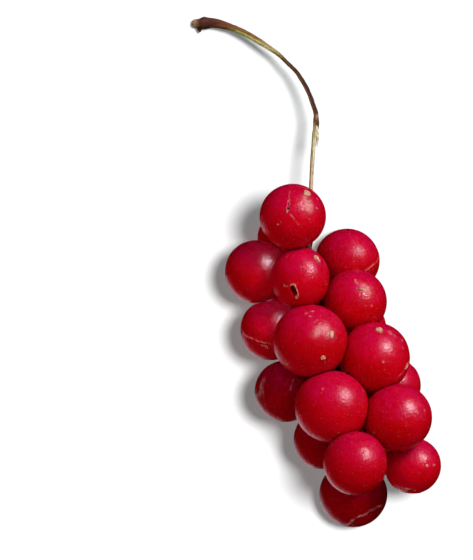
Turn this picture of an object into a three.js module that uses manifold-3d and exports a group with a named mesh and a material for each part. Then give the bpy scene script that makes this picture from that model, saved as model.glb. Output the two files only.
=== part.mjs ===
// A picked bunch of schisandra berries, lying on its side on a level surface.
// Millimetres, +Z up. The surface is z = 0, the stalk end points along +Y and the
// origin is under the middle of the bunch and its stalk.
import * as THREE from "three";
import { mergeVertices } from "three/addons/utils/BufferGeometryUtils.js";
import Module from "manifold-3d";

const wasm = await Module();
wasm.setup();

// Receptacle: the soft axis inside the bunch that every berry grows from
const AXIS_HEIGHT = 8.0;
const RECEPTACLE_TOP = new THREE.Vector3(-0.65, 8.2, AXIS_HEIGHT);
const RECEPTACLE_TIP = new THREE.Vector3(5.2, -24.4, AXIS_HEIGHT);
const RECEPTACLE_BOW = 1.55;
const RECEPTACLE_LIFT = 1.6;
const RECEPTACLE_STEPS = 12;
const RECEPTACLE_SIDES = 10;
// Each pair is a distance below the top and the diameter there
const RECEPTACLE_PROFILE = [[0, 1.7], [10, 1.6], [14, 2.4], [28, 2.4], [33, 1.0]];

// Berries, from the stalk end to the tip. Each row gives the distance along the
// receptacle, the turn round it in degrees from straight up towards +X, the reach
// from the receptacle's middle to the berry's middle, and the berry's diameter.
const BERRIES = [
  [1.7, -21, 5.3, 7.2],
  [3.9, -153, 5.6, 6.3],
  [7.0, -94, 6.0, 7.1],
  [7.5, 135, 6.1, 7.2],
  [8.5, -18, 4.2, 6.8],
  [11.0, -163, 5.3, 6.5],
  [12.2, 80, 4.4, 7.2],
  [13.6, -93, 5.5, 6.8],
  [15.2, 142, 6.7, 6.5],
  [15.5, -17, 5.2, 8.0],
  [18.6, 57, 5.9, 7.8],
  [19.2, -161, 5.7, 6.6],
  [20.6, -96, 5.7, 6.8],
  [22.2, 114, 6.6, 6.5],
  [23.0, -13, 5.3, 7.9],
  [25.5, 53, 6.9, 7.4],
  [25.5, -172, 6.0, 6.3],
  [26.6, -107, 3.5, 6.2],
  [28.8, 150, 7.1, 6.3],
  [29.5, -3, 6.7, 7.0],
  [31.2, 93, 5.9, 6.3],
  [33.4, -170, 6.1, 7.5],
];
const BERRY_SIDES = 14;
const BERRY_RINGS = 8;
const BERRY_LENGTH_RATIO = 0.98;
const STIPE_DIAMETER = 0.9;
const STIPE_ROOT_DIAMETER = 1.2;
// A stipe leaves the receptacle this much nearer the stalk for each millimetre of reach
const STIPE_LEAN = 0.12;

// Stalk: its foot stands in a plain hole in the top of the receptacle
const FOOT_DEPTH = 1.2;
const SOCKET_DEPTH = 1.5;
const SOCKET_DIAMETER = 1.0;
const SOCKET_SIDES = 12;
const STALK_STEPS = 48;
const STALK_SIDES = 8;
const STALK_ROUTE = [
  [-0.6, 9.7, 8.0],
  [-0.45, 12.55, 7.7],
  [-0.2, 15.25, 7.3],
  [-0.05, 16.25, 7.05],
  [-0.05, 17.65, 6.7],
  [-0.35, 18.65, 6.4],
  [-0.75, 19.8, 6.0],
  [-1.3, 20.95, 5.6],
  [-2.15, 22.3, 5.1],
  [-3.25, 23.45, 4.6],
  [-4.35, 24.5, 4.1],
  [-6.65, 26.05, 3.2],
  [-8.05, 26.85, 2.6],
  [-9.5, 27.5, 2.1],
  [-11.2, 28.0, 1.5],
  [-12.4, 28.05, 1.1],
  [-13.9, 28.0, 0.8],
];
// Each pair is a distance above the receptacle and the diameter there: a jointed ring
// low down, a pinched twist further up and a swollen foot where it was picked
const STALK_PROFILE = [
  [0, 0.5],
  [1.5, 0.56],
  [7.5, 0.58],
  [8.6, 0.7],
  [9.4, 0.54],
  [13.0, 0.62],
  [17.6, 0.46],
  [19.0, 0.64],
  [22.0, 0.8],
  [24.0, 0.78],
  [25.6, 1.0],
  [27.0, 1.4],
  [28.3, 0.9],
];

const UP = new THREE.Vector3(0, 0, 1);
const CHORD = RECEPTACLE_TIP.clone().sub(RECEPTACLE_TOP);
const RECEPTACLE_LENGTH = CHORD.length();
const DOWN_BUNCH = CHORD.clone().normalize();
const ACROSS = UP.clone().cross(DOWN_BUNCH);
// A bow of x (1 - x) squared is greatest at a third of the length, and this makes it 1 there
const BOW_SCALE = 27 / 4;

// The receptacle's middle line: it bows to one side and lifts towards the tip
class ReceptacleLine extends THREE.Curve {
  getPoint(share, target = new THREE.Vector3()) {
    const bow = -RECEPTACLE_BOW * BOW_SCALE * share * (1 - share) ** 2;
    const lift = RECEPTACLE_LIFT * share ** 2;
    return target
      .copy(RECEPTACLE_TOP)
      .addScaledVector(CHORD, share)
      .addScaledVector(ACROSS, bow)
      .addScaledVector(UP, lift);
  }
}

// Joins and cuts
function solidFrom(geometry) {
  const bare = new THREE.BufferGeometry();
  bare.setAttribute("position", geometry.getAttribute("position"));
  bare.setIndex(geometry.getIndex());
  const merged = mergeVertices(bare);
  const corners = merged.getIndex().array;
  const triangles = [];
  for (let i = 0; i < corners.length; i += 3) {
    const [a, b, c] = corners.slice(i, i + 3);
    if (a !== b && b !== c && c !== a) {
      triangles.push(a, b, c);
    }
  }
  const vertProperties = Float32Array.from(merged.getAttribute("position").array);
  const triVerts = Uint32Array.from(triangles);
  return new wasm.Manifold(new wasm.Mesh({ numProp: 3, vertProperties, triVerts }));
}

function geometryFrom(solid) {
  const { vertProperties, triVerts } = solid.getMesh();
  const geometry = new THREE.BufferGeometry();
  geometry.setAttribute("position", new THREE.BufferAttribute(vertProperties, 3));
  geometry.setIndex(new THREE.BufferAttribute(triVerts, 1));
  geometry.computeVertexNormals();
  return geometry;
}

// The outer body of a joined solid, with sealed pockets filled
function outerBody(solid) {
  const bodies = solid.decompose();
  return bodies.reduce((largest, body) => (body.volume() > largest.volume() ? body : largest));
}

// Rods: a turned profile bent along a line
function diameterAt(profile, distance) {
  const last = profile.length - 1;
  const next = profile.findIndex(([knot]) => knot >= distance);
  if (next === 0) {
    return profile[0][1];
  }
  if (next < 0) {
    return profile[last][1];
  }
  const [startDistance, startDiameter] = profile[next - 1];
  const [endDistance, endDiameter] = profile[next];
  const share = (distance - startDistance) / (endDistance - startDistance);
  return THREE.MathUtils.lerp(startDiameter, endDiameter, share);
}

function rodAlong(line, profile, profileStart, steps, sides) {
  const length = line.getLength();
  const outline = [new THREE.Vector2(0, 0)];
  for (let step = 0; step <= steps; step += 1) {
    const distance = (length * step) / steps;
    outline.push(new THREE.Vector2(diameterAt(profile, distance + profileStart) / 2, distance));
  }
  outline.push(new THREE.Vector2(0, length));
  const rod = new THREE.LatheGeometry(outline, sides);
  const position = rod.getAttribute("position");
  for (let i = 0; i < position.count; i += 1) {
    const share = position.getY(i) / length;
    const along = line.getTangentAt(share);
    const across = along.clone().cross(UP).normalize();
    const rise = across.clone().cross(along);
    const point = line
      .getPointAt(share)
      .addScaledVector(across, position.getX(i))
      .addScaledVector(rise, position.getZ(i));
    position.setXYZ(i, point.x, point.y, point.z);
  }
  return rod;
}

// One berry on its stipe, turned about the line from its root to its middle
function berryOnStipe(line, [distance, turn, reach, diameter]) {
  const radius = diameter / 2;
  const angle = THREE.MathUtils.degToRad(turn);
  const middle = line
    .getPoint(distance / RECEPTACLE_LENGTH)
    .addScaledVector(ACROSS, reach * Math.sin(angle))
    .addScaledVector(UP, reach * Math.cos(angle));
  const root = line.getPoint((distance - STIPE_LEAN * reach) / RECEPTACLE_LENGTH);
  const outward = middle.clone().sub(root);
  const outline = [
    new THREE.Vector2(0, -outward.length()),
    new THREE.Vector2(STIPE_ROOT_DIAMETER / 2, -outward.length()),
  ];
  const firstAngle = Math.asin(STIPE_DIAMETER / diameter);
  for (let ring = 0; ring < BERRY_RINGS; ring += 1) {
    const ringAngle = THREE.MathUtils.lerp(firstAngle, Math.PI, ring / BERRY_RINGS);
    const height = -radius * BERRY_LENGTH_RATIO * Math.cos(ringAngle);
    outline.push(new THREE.Vector2(radius * Math.sin(ringAngle), height));
  }
  outline.push(new THREE.Vector2(0, radius * BERRY_LENGTH_RATIO));
  const berry = new THREE.LatheGeometry(outline, BERRY_SIDES);
  const turned = new THREE.Quaternion().setFromUnitVectors(
    new THREE.Vector3(0, 1, 0),
    outward.normalize(),
  );
  return berry.applyQuaternion(turned).translate(middle.x, middle.y, middle.z);
}

// The hole in the top of the receptacle that the stalk's foot stands in
function stalkSocket(line) {
  const downward = line.getTangent(0);
  const socket = new THREE.CylinderGeometry(
    SOCKET_DIAMETER / 2,
    SOCKET_DIAMETER / 2,
    2 * SOCKET_DEPTH,
    SOCKET_SIDES,
  );
  const turned = new THREE.Quaternion().setFromUnitVectors(new THREE.Vector3(0, 1, 0), downward);
  return socket.applyQuaternion(turned).translate(...RECEPTACLE_TOP);
}

// Everything below the surface, which presses small flats on the lowest berries
function belowSurface() {
  const size = 4 * RECEPTACLE_LENGTH;
  return new THREE.BoxGeometry(size, size, size).translate(0, 0, -size / 2);
}

function berryBunch(line) {
  const core = rodAlong(line, RECEPTACLE_PROFILE, 0, RECEPTACLE_STEPS, RECEPTACLE_SIDES);
  let bunch = solidFrom(core);
  for (const row of BERRIES) {
    bunch = bunch.add(solidFrom(berryOnStipe(line, row)));
  }
  bunch = bunch.subtract(solidFrom(stalkSocket(line)));
  bunch = bunch.subtract(solidFrom(belowSurface()));
  return geometryFrom(outerBody(bunch));
}

function stalk(line) {
  const foot = RECEPTACLE_TOP.clone().addScaledVector(line.getTangent(0), FOOT_DEPTH);
  const route = STALK_ROUTE.map(([x, y, z]) => new THREE.Vector3(x, y, z));
  const stalkLine = new THREE.CatmullRomCurve3([foot, RECEPTACLE_TOP, ...route]);
  const rod = rodAlong(stalkLine, STALK_PROFILE, -FOOT_DEPTH, STALK_STEPS, STALK_SIDES);
  return geometryFrom(solidFrom(rod));
}

const berrySkin = new THREE.MeshStandardMaterial({ color: 0xb80a22, roughness: 0.38, metalness: 0 });
const stalkBark = new THREE.MeshStandardMaterial({ color: 0x8c6a42, roughness: 0.8, metalness: 0 });

const receptacleLine = new ReceptacleLine();
const berries = new THREE.Mesh(berryBunch(receptacleLine), berrySkin);
berries.name = "berries";
const stem = new THREE.Mesh(stalk(receptacleLine), stalkBark);
stem.name = "stem";

const bunch = new THREE.Group();
bunch.add(berries, stem);

export default bunch;
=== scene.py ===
"""A picked bunch of schisandra berries with its stalk, lying on a pale floor."""

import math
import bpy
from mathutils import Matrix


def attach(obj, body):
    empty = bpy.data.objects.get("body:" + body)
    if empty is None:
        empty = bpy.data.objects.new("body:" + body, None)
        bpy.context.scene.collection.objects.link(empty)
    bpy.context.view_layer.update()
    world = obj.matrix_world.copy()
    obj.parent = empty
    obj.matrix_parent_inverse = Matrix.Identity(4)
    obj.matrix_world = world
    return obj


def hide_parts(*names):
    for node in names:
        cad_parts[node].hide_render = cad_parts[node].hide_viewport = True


bl_info = {
    "name": "Schisandra berry bunch",
    "version": (1, 0, 0),
    "blender": (4, 5, 0),
    "location": "3D View > Sidebar > Berry bunch",
    "description": "Builds a picked bunch of ripe schisandra berries, its stalk and a pale floor",
    "category": "Object",
}

import bpy
import numpy as np
from mathutils import Vector

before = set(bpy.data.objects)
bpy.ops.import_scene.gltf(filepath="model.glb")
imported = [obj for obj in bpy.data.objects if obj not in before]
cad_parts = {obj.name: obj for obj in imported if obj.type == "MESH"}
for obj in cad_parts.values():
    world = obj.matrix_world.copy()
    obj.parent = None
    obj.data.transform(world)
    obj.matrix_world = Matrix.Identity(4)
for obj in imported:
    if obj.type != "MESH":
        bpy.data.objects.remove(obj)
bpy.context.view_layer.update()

# Lengths below are in millimetres, and meshes are in metres
MM = 0.001
BODY = "root"

# Receptacle: its line is that of the solid part, and it is slimmer
RECEPTACLE_TOP = np.array([-0.65, 8.2, 8.0])
RECEPTACLE_TIP = np.array([5.2, -24.4, 8.0])
RECEPTACLE_BOW = 1.55
RECEPTACLE_LIFT = 1.6
# A bow of x (1 - x) squared is greatest at a third of the length, and this makes it 1 there
BOW_SCALE = 27 / 4
# Each pair is a distance below the top and the diameter there
RECEPTACLE_PROFILE = [(0, 0.6), (0.6, 0.7), (8, 0.75), (10, 1.0), (14, 2.2), (28, 2.2), (32.5, 1.0),
                      (33, 0.2)]
RECEPTACLE_STEPS = 120
RECEPTACLE_DARK = (0.06, 0.006, 0.005)

# Stipes: how much nearer the stalk one starts for each millimetre of reach, how far from its
# berry it bends, how deep it sinks in, and the least fall of its end, as a share of 1
STIPE_LEAN = 0.12
STIPE_BEND = 1.3
STIPE_SINK = 0.35
STIPE_FALL = 0.15
# Each pair is a share of the length and the diameter there
STIPE_PROFILE = [(0, 1.0), (0.45, 0.75), (0.8, 0.7), (1, 0.9)]
STIPE_STEPS = 14

# Berries from the stalk end to the tip: distance along the receptacle, turn round it in
# degrees from straight up towards +X, reach from its middle, and diameter
BERRIES = [
    (1.7, -21, 5.3, 7.2),
    (3.9, -153, 5.6, 6.3),
    (7.0, -94, 6.0, 7.1),
    (7.5, 135, 6.1, 7.2),
    (8.5, -18, 4.2, 6.8),
    (11.0, -163, 5.3, 6.5),
    (12.2, 80, 4.4, 7.2),
    (13.6, -93, 5.5, 6.8),
    (15.2, 142, 6.7, 6.5),
    (15.5, -17, 5.2, 8.0),
    (18.6, 57, 5.9, 7.8),
    (19.2, -161, 5.7, 6.6),
    (20.6, -96, 5.7, 6.8),
    (22.2, 114, 6.6, 6.5),
    (23.0, -13, 5.3, 7.9),
    (25.5, 53, 6.9, 7.4),
    (25.5, -172, 6.0, 6.3),
    (26.6, -107, 3.5, 6.2),
    (28.8, 150, 7.1, 6.3),
    (29.5, -3, 6.7, 7.0),
    (31.2, 93, 5.9, 6.3),
    (33.4, -170, 6.1, 7.5),
]
BERRY_LENGTH_RATIO = 0.985
# Each berry takes its lumps from a place this far along the noise
LUMP_STEP = 7.3
# How round the rim of a flat is, and how near two berries touch
CONTACT_SOFTNESS = 0.12
CONTACT_REACH = 0.1
# Berries that are not quite round: how wide and how tall their face is
BERRY_STRETCH = {1: (1.015, 1.0), 4: (1.03, 0.98), 5: (0.955, 1.02), 10: (1.03, 1.0), 15: (1.035, 1.0),
                 16: (1.035, 1.0), 18: (0.97, 1.05), 21: (1.02, 0.99), 22: (1.02, 1.0)}
# The dip round a berry's stipe
NAVEL_RADIUS = 0.9
NAVEL_DEPTH = 0.3
# Berries with a finer mesh than the rest, and with a coarser one
FINE_BERRIES = (1, 5, 7, 8, 10, 11, 22)
BURIED_BERRIES = (6, 12, 17, 19)
# Berries painted darker than the rest, from 0 to 1: on 13, 18 and 22, which lie low under the others,
# this is painted shade, and on the rest a darker tone
DARK_TONE_AND_SHADE = {3: 0.15, 8: 0.2, 10: 0.12, 13: 0.85, 15: 0.1, 16: 0.06, 17: 0.5, 18: 0.8, 20: 0.2, 22: 0.85}
# The side of a berry with most painted sheen, a magenta tint that stands in for cool light on its upper
# side, and how far round it the sheen starts
PAINTED_SHEEN_SIDE = np.array([0.15, 0.80, 0.55])
PAINTED_SHEEN_START = 0.3

# Marks on the skin that shows: berry, place across and up its face as shares of its
# radius, kind, length, width, and tilt of the length in degrees
# The scuffs on berries 1, 4, 7 and 10 lie where the glint falls and are painted highlight, pale and
# speckled; the other scuffs are rubbed skin
MARKS = [
    (1, -0.16, 0.23, "pit", 0.36, 0.24, 70),
    (1, -0.19, 0.14, "scab", 0.42, 0.3, 60),
    (1, 0.43, 0.70, "scab", 1.05, 1.0, -8),
    (1, 0.72, 0.53, "dot", 0.4, 0.34, 0),
    (1, 0.72, 0.24, "dot", 0.36, 0.3, 0),
    (1, -0.46, -0.26, "dot", 0.3, 0.22, 30),
    (1, -0.39, -0.20, "dot", 0.2, 0.2, 0),
    (1, 0.44, 0.34, "scuff", 2.6, 1.7, 70),
    (4, 0.32, 0.33, "scuff", 1.6, 1.0, 20),
    (5, -0.26, -0.39, "pit", 1.5, 0.92, -66),
    (5, -0.14, -0.62, "scab", 0.55, 0.34, -20),
    (5, -0.56, -0.25, "dot", 0.4, 0.2, 60),
    (5, 0.07, 0.33, "pit", 0.26, 0.2, 0),
    (5, 0.56, 0.63, "scab", 0.95, 0.75, -50),
    (7, 0.30, 0.40, "scuff", 2.0, 1.5, -40),
    (7, 0.16, 0.40, "scab", 0.6, 0.45, -20),
    (7, 0.02, 0.62, "scuff", 1.0, 0.5, -60),
    (7, 0.49, -0.12, "dot", 0.34, 0.28, 0),
    (7, 0.50, -0.66, "pit", 0.3, 0.22, 40),
    (7, 0.58, -0.45, "pit", 0.3, 0.2, 40),
    (8, -0.22, -0.51, "dot", 0.9, 0.16, -12),
    (8, -0.14, -0.60, "pit", 0.3, 0.2, 0),
    (10, 0.24, 0.24, "scuff", 2.6, 2.0, 50),
    (10, 0.54, 0.20, "scab", 1.05, 0.78, 75),
    (10, 0.33, -0.46, "scab", 0.78, 0.5, -30),
    (10, 0.37, -0.52, "pit", 0.26, 0.2, -30),
    (10, -0.12, 0.76, "dot", 0.5, 0.3, 60),
    (10, 0.05, 0.82, "dot", 0.5, 0.28, 40),
    (10, -0.02, 0.68, "dot", 0.5, 0.22, 10),
    (10, -0.63, -0.66, "dot", 0.7, 0.3, 50),
    (11, 0.10, 0.78, "scab", 0.95, 1.1, 0),
    (11, 0.45, 0.70, "scuff", 1.6, 0.7, -30),
    (11, 0.20, -0.12, "scab", 0.26, 0.22, 0),
    (11, 0.24, -0.33, "dot", 0.26, 0.22, 0),
    (11, 0.77, 0.50, "dot", 0.4, 0.3, 60),
    (11, 0.78, 0.28, "dot", 0.36, 0.28, 70),
    (11, 0.88, -0.28, "scab", 0.9, 0.5, 55),
    (13, 0.27, 0.38, "dot", 0.4, 0.3, 60),
    (13, 0.34, -0.25, "dot", 0.35, 0.22, 60),
    (13, -0.80, 0.10, "scuff", 3.0, 0.9, 88),
    (15, -0.26, 0.52, "dot", 0.28, 0.24, 0),
    (15, 0.84, 0.44, "dot", 0.34, 0.3, 0),
    (15, 0.28, -0.81, "pit", 0.34, 0.26, 0),
    (15, 0.16, -0.72, "dot", 0.24, 0.22, 0),
    (16, 0.55, 0.16, "dot", 0.4, 0.26, 30),
    (16, 0.75, 0.24, "dot", 0.4, 0.22, 50),
    (16, -0.70, -0.42, "dot", 0.3, 0.24, 0),
    (18, -0.10, 0.05, "dot", 0.25, 0.2, 0),
    (21, 0.48, 0.03, "dot", 0.4, 0.34, 0),
    (21, 0.72, 0.05, "dot", 0.4, 0.34, 0),
    (21, -0.10, -0.88, "pit", 0.9, 0.4, -5),
    (21, -0.20, -0.80, "scuff", 1.6, 0.5, -12),
]

# Lines on the skin: berry, kind, width, and points across and up its face
LINES = [
    (1, "scratch", 0.2, [(-0.09, 0.76), (-0.12, 0.62), (-0.12, 0.44)]),
    (1, "slit", 0.15, [(-0.12, 0.48), (-0.15, 0.38), (-0.16, 0.24)]),
    (1, "scratch", 0.22, [(-0.10, 0.06), (0.02, -0.06), (0.15, -0.26)]),
    (4, "crease", 0.42, [(0.58, -0.38), (0.80, -0.22), (0.97, 0.02)]),
    (5, "scratch", 0.16, [(-0.54, -0.28), (-0.42, -0.26)]),
    (8, "crease", 0.34, [(-0.97, -0.02), (-0.62, -0.34), (-0.36, -0.44), (-0.10, -0.48)]),
    (11, "crease", 0.3, [(0.70, -0.52), (0.82, -0.38), (0.95, -0.16)]),
    (13, "scratch", 0.26, [(0.22, 0.36), (0.20, 0.22), (0.16, 0.06)]),
    (13, "scratch", 0.26, [(-0.68, 0.50), (-0.72, 0.0), (-0.64, -0.45)]),
    (22, "crease", 0.6, [(-0.08, -0.93), (0.11, -0.74), (0.35, -0.66), (0.50, -0.54), (0.74, -0.42)]),
]
# Edges of marks, in half widths: how far out one has an effect, how far it wanders, and a
# distance that is always too far
MARK_REACH = 1.5
MARK_WANDER = 0.25
OUT_OF_REACH = 9.0
# Least size of the wandering, and size of the patches in rubbed skin
WANDER_SIZE = 0.35
RUBBED_SIZE = 0.9
RIPPLE_SEED = 3
RIPPLE_WAVES = 14
# Marks on the sides that don't show, drawn from these kinds
HIDDEN_MARK_SEED = 7
HIDDEN_MARKS_EACH = 4
HIDDEN_KINDS = ("dot", "dot", "scab", "dot", "pit", "crease")

# Stalk, from the receptacle to the picked end, along the line of the solid part
STALK_ROUTE = [
    (-0.6, 9.7, 8.0),
    (-0.45, 12.55, 7.7),
    (-0.2, 15.25, 7.3),
    (-0.05, 16.25, 7.05),
    (-0.05, 17.65, 6.7),
    (-0.35, 18.65, 6.4),
    (-0.75, 19.8, 6.0),
    (-1.3, 20.95, 5.6),
    (-2.15, 22.3, 5.1),
    (-3.25, 23.45, 4.6),
    (-4.35, 24.5, 4.1),
    (-6.65, 26.05, 3.2),
    (-8.05, 26.85, 2.6),
    (-9.5, 27.5, 2.1),
    (-11.2, 28.0, 1.5),
    (-12.4, 28.05, 1.1),
    (-13.9, 28.0, 0.8),
]
STALK_FOOT = 1.0
STALK_STEPS = 420
# Each pair is a distance above the receptacle and the diameter there
STALK_PROFILE = [
    (0, 0.5),
    (1.5, 0.42),
    (5.4, 0.44),
    (6.4, 0.5),
    (7.6, 0.54),
    (8.3, 0.6),
    (8.8, 0.62),
    (9.4, 0.5),
    (13.0, 0.5),
    (15.5, 0.46),
    (17.6, 0.44),
    (19.0, 0.54),
    (21.2, 0.68),
    (22.9, 0.7),
    (24.5, 0.7),
    (26.2, 0.96),
    (27.1, 1.06),
    (27.8, 1.36),
    (28.05, 1.22),
    (28.3, 0.95),
    (28.9, 0.92),
    (29.1, 0.74),
    (29.2, 0.5),
    (29.25, 0.2),
]
# Colours along the stalk: share of its length, colour of its outer side and of its inner side
STALK_COLOURS = [
    (0.00, (0.42, 0.12, 0.08), (0.42, 0.14, 0.06)),
    (0.07, (0.74, 0.48, 0.36), (0.50, 0.34, 0.10)),
    (0.15, (0.78, 0.57, 0.44), (0.52, 0.39, 0.13)),
    (0.21, (0.82, 0.65, 0.48), (0.54, 0.44, 0.14)),
    (0.24, (0.88, 0.80, 0.60), (0.58, 0.50, 0.16)),
    (0.29, (0.78, 0.68, 0.42), (0.48, 0.40, 0.14)),
    (0.303, (0.10, 0.04, 0.018), (0.30, 0.20, 0.08)),
    (0.32, (0.12, 0.05, 0.025), (0.16, 0.08, 0.04)),
    (0.337, (0.45, 0.28, 0.18), (0.22, 0.10, 0.05)),
    (0.35, (0.05, 0.018, 0.008), (0.16, 0.06, 0.025)),
    (0.45, (0.025, 0.009, 0.004), (0.24, 0.085, 0.03)),
    (0.55, (0.06, 0.022, 0.008), (0.22, 0.09, 0.03)),
    (0.60, (0.16, 0.07, 0.022), (0.16, 0.09, 0.025)),
    (0.645, (0.46, 0.38, 0.13), (0.46, 0.40, 0.12)),
    (0.675, (0.46, 0.32, 0.12), (0.84, 0.82, 0.40)),
    (0.74, (0.32, 0.15, 0.055), (0.64, 0.62, 0.19)),
    (0.82, (0.26, 0.11, 0.04), (0.40, 0.36, 0.07)),
    (0.86, (0.22, 0.07, 0.03), (0.20, 0.08, 0.02)),
    (0.90, (0.16, 0.045, 0.025), (0.12, 0.04, 0.02)),
    (0.945, (0.10, 0.035, 0.03), (0.06, 0.02, 0.016)),
    (0.97, (0.16, 0.06, 0.04), (0.12, 0.05, 0.03)),
    (0.982, (0.34, 0.16, 0.09), (0.26, 0.12, 0.06)),
    (1.0, (0.72, 0.50, 0.32), (0.50, 0.28, 0.14)),
]
STALK_DARK = (0.05, 0.018, 0.008)
# Torn bits on the stalk: points and widths
BARK_SLIVERS = [
    ([(0.01, 17.33, 6.95), (0.19, 16.67, 7.1), (0.23, 15.95, 7.25)], [0.2, 0.26, 0.06]),
    ([(-13.0, 27.65, 0.95), (-13.03, 27.3, 0.9), (-13.0, 27.05, 0.9)], [0.8, 0.55, 0.2]),
]
TORN_FIBRES = [
    ([(0.0, 16.25, 7.2), (0.1, 15.33, 7.4), (0.12, 14.44, 7.5), (0.07, 13.85, 7.5)],
     [0.3, 0.34, 0.26, 0.06]),
    ([(0.06, 15.7, 7.3), (0.2, 15.0, 7.45), (0.2, 14.55, 7.5)], [0.1, 0.14, 0.04]),
]
BARK_DARK = (0.02, 0.008, 0.004)
FIBRE_DARK = (0.50, 0.36, 0.17)
TORN_STEPS = 30
# Steps between two points of a line before it is spaced evenly
LINE_STEPS = 24

# Stage: directions of the lights from the bunch, and their widths in metres
LIGHT_DISTANCE = 3.0
KEY_DIRECTION = (0.507, 0.579, 0.638)
KEY_WIDTH = 1.3
GLINT_DIRECTION = (0.62, 0.54, 0.56)
GLINT_WIDTH = 0.75
TOP_DIRECTION = (0.21, 0.09, 0.97)
TOP_WIDTH = 0.62
SKY_WIDTH = 9.0
BOUNCE_DIRECTION = (-0.6, -0.6, -0.4)
BACKDROP_COLOUR = (0.86, 0.86, 0.86, 1)
RIM_DIRECTION = (-0.36, -0.38, -0.85)
RIM_WIDTH = 2.0
GLINT_COLOUR = (0.98, 0.86, 1.0)
# A cool fill evens out the red that the berries throw on the floor
FILL_COLOUR = (0.91, 1.0, 1.0)
# Berries low in the bunch that still catch a glint between the others
SHELTERED = ("berry_03", "berry_08")
# The picture is 560 pixels high, with 9 pixels to a millimetre at the receptacle
SENSOR_WIDTH = 36.0
PICTURE_HEIGHT = 560
PICTURE_SCALE = 9.0
PICTURE_CENTRE = (-8.89, -0.89)

# What settings of one kind have in common
COLOUR = {"subtype": "COLOR", "size": 3, "min": 0, "max": 1}
POWER = {"subtype": "POWER", "unit": "POWER", "min": 0}


class BerrySettings(bpy.types.PropertyGroup):
    """Sizes and colours of the berries"""

    skin_colour: bpy.props.FloatVectorProperty(
        name="Skin", description="Colour of most of the skin", default=(0.60, 0.0008, 0.010), **COLOUR)
    deep_colour: bpy.props.FloatVectorProperty(
        name="Deep skin", description="Colour of the ripest skin",
        default=(0.53, 0.0005, 0.0035), **COLOUR)
    # Painted shade for the berries low in the bunch, a darker tone on some others, and dark freckles
    dark_tone_and_shade_colour: bpy.props.FloatVectorProperty(
        name="Overripe skin", description="Colour of the darkest berries",
        default=(0.27, 0.0005, 0.003), **COLOUR)
    # Painted sheen: the magenta tint that cool light gives the upper side of each berry
    painted_sheen_colour: bpy.props.FloatVectorProperty(
        name="Bloom", description="Colour of skin with a waxy bloom",
        default=(0.57, 0.0010, 0.046), **COLOUR)
    # Pale rubbed skin and pores, and the painted highlight of the scuffs that lie where the glint falls
    scuff_and_highlight_colour: bpy.props.FloatVectorProperty(
        name="Scuffs", description="Colour of rubbed skin and pores",
        default=(0.80, 0.24, 0.27), **COLOUR)
    scab_colour: bpy.props.FloatVectorProperty(
        name="Scabs", description="Colour of dry corky spots", default=(0.84, 0.56, 0.38), **COLOUR)
    crust_colour: bpy.props.FloatVectorProperty(
        name="Crust", description="Colour of the darker bits of corky spots",
        default=(0.42, 0.13, 0.07), **COLOUR)
    # Painted shade inside holes, slits and folds, and along one side of a scab's rim
    pit_shade_colour: bpy.props.FloatVectorProperty(
        name="Pits", description="Colour inside the small holes", default=(0.03, 0.006, 0.003), **COLOUR)
    lump_height: bpy.props.FloatProperty(
        name="Lump height", description="How far the form strays from round, as a share of the radius",
        min=0, max=0.1, default=0.026)
    lump_size: bpy.props.FloatProperty(
        name="Lump size", description="Width of a lump as a share of the radius",
        min=0.1, max=4, default=1.1)
    fineness: bpy.props.IntProperty(
        name="Fineness", description="Times that the faces of a berry are split",
        min=3, max=7, default=6)
    roughness: bpy.props.FloatProperty(
        name="Roughness", description="Roughness of clean skin", subtype="FACTOR",
        min=0, max=1, default=0.29)


class StalkSettings(bpy.types.PropertyGroup):
    """Sizes and colours of the stalk and receptacle"""

    bark_colour: bpy.props.FloatVectorProperty(
        name="Bark", description="Colour of the torn bark", default=(0.12, 0.045, 0.022), **COLOUR)
    pale_colour: bpy.props.FloatVectorProperty(
        name="Pale wood", description="Colour of bare fibre", default=(0.82, 0.74, 0.54), **COLOUR)
    receptacle_colour: bpy.props.FloatVectorProperty(
        name="Receptacle", description="Colour of the receptacle and stipes",
        default=(0.12, 0.010, 0.008), **COLOUR)
    sides: bpy.props.IntProperty(
        name="Sides", description="Faces round the stalk", min=8, max=64, default=28)
    ridges: bpy.props.IntProperty(
        name="Ridges", description="Ridges round the stalk", min=3, max=16, default=6)
    ridge_depth: bpy.props.FloatProperty(
        name="Ridge depth", description="Depth of a ridge as a share of the radius",
        min=0, max=0.4, default=0.10)
    twist: bpy.props.FloatProperty(
        name="Twist", description="Turns that the ridges make along the stalk",
        min=0, max=6, default=1.5)


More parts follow.
